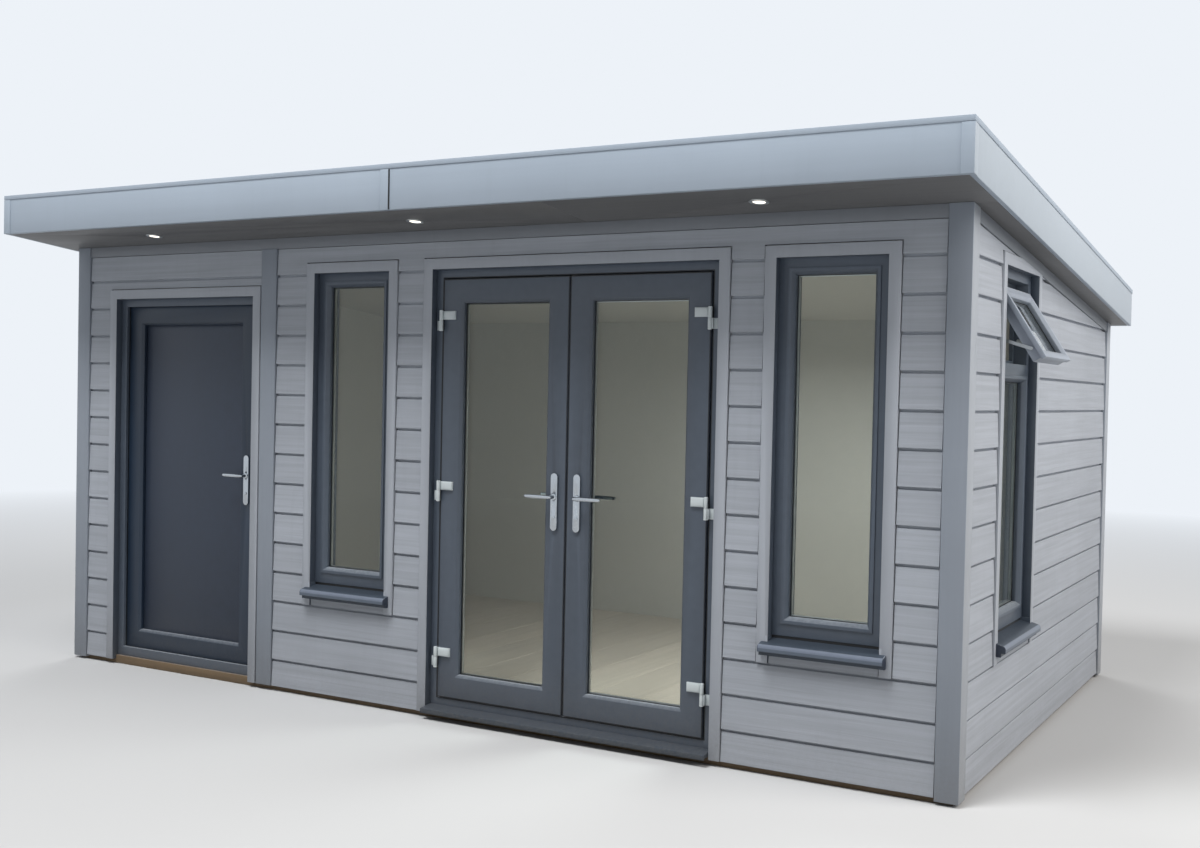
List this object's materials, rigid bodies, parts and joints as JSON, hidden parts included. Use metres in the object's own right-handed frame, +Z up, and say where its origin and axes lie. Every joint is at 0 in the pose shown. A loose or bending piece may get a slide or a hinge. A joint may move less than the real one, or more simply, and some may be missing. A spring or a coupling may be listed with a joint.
{
  "type": "garden office pod",
  "caption": "Insulated garden office with lapped grey boards, French doors, a store door, tall fixed windows, an open top vent and a low roof that falls to the rear.",
  "frame": {"origin": "on the ground, under the middle of the floor, on the underside of the middle bearer", "axes": "+X to the right along the front, +Y from the front to the rear, +Z up"},
  "size_m": [5.2554, 3.581, 2.5436],
  "materials": {
    "timber_frame": "sawn softwood",
    "floor": "sealed oak boards",
    "wall_lining": "matt lining",
    "cladding": "light grey, embossed with timber grain",
    "trim": "smooth grey",
    "anthracite": "anthracite satin",
    "glazing": "clear sealed units",
    "hinge_metal": "pale satin",
    "handle_metal": "polished",
    "membrane": "matt black sheet",
    "fascia": "smooth light blue grey",
    "lamp": "warm white lens",
    "rainwater": "anthracite satin"
  },
  "bodies": {
    "building": {"base_frame": "timber_frame", "floor_deck": "floor", "front_left_wall": "wall_lining", "store_head_wall": "wall_lining", "front_middle_wall": "wall_lining", "french_head_wall": "wall_lining", "front_right_wall": "wall_lining", "left_wall": "wall_lining", "right_wall": "wall_lining", "rear_wall": "wall_lining", "front_cladding": "cladding", "side_cladding": "cladding", "rear_cladding": "cladding", "corner_boards": "trim", "divider_board": "trim", "frieze_boards": "trim", "opening_surrounds": "trim", "store_door_frame": "anthracite", "french_door_frame": "anthracite", "front_window_frames": "anthracite", "side_window_frame": "anthracite", "window_glass": "glazing", "window_sills": "anthracite", "door_sill": "anthracite", "vent_sash": "anthracite", "vent_stays": "hinge_metal", "frame_hinges": "hinge_metal", "roof_deck": "timber_frame", "roof_membrane": "membrane", "roof_edge_trim": "fascia", "fascia_boards": "fascia", "fascia_covers": "fascia", "soffit_boards": "fascia", "soffit_lights": "lamp", "rear_gutter": "rainwater", "downpipe": "rainwater"},
    "french_left": {"french_left_leaf": "anthracite", "french_left_glass": "glazing", "french_left_hardware": "handle_metal"},
    "french_left_lever": {"french_left_lever": "handle_metal"},
    "french_right": {"french_right_leaf": "anthracite", "french_right_glass": "glazing", "french_right_hardware": "handle_metal"},
    "french_right_lever": {"french_right_lever": "handle_metal"},
    "store_door": {"store_door_leaf": "anthracite", "store_door_panel": "anthracite", "store_door_hardware": "handle_metal"},
    "store_door_lever": {"store_door_lever": "handle_metal"}
  },
  "joints": [
    {"name": "french_left_hinge", "type": "hinge", "parent": "building", "child": "french_left", "pos_m": [0.014, -1.483, 1.075], "axis": [0, 0, -1], "range_deg": [0, 100]},
    {"name": "french_right_hinge", "type": "hinge", "parent": "building", "child": "french_right", "pos_m": [1.406, -1.483, 1.075], "axis": [0, 0, 1], "range_deg": [0, 100]},
    {"name": "store_door_hinge", "type": "hinge", "parent": "building", "child": "store_door", "pos_m": [-2.1615, -1.361, 1.075], "axis": [0, 0, 1], "range_deg": [0, 90]},
    {"name": "french_left_handle", "type": "hinge", "parent": "french_left", "child": "french_left_lever", "pos_m": [0.651, -1.468, 1.082], "axis": [0, -1, 0], "range_deg": [0, 35], "stiffness_Nm_per_rad": 2.5, "springref_deg": -22.92},
    {"name": "french_right_handle", "type": "hinge", "parent": "french_right", "child": "french_right_lever", "pos_m": [0.769, -1.468, 1.082], "axis": [0, 1, 0], "range_deg": [0, 35], "stiffness_Nm_per_rad": 2.5, "springref_deg": -22.92},
    {"name": "store_door_handle", "type": "hinge", "parent": "store_door", "child": "store_door_lever", "pos_m": [-1.2565, -1.436, 1.082], "axis": [0, -1, 0], "range_deg": [0, 35], "stiffness_Nm_per_rad": 2.5, "springref_deg": -22.92}
  ]
}
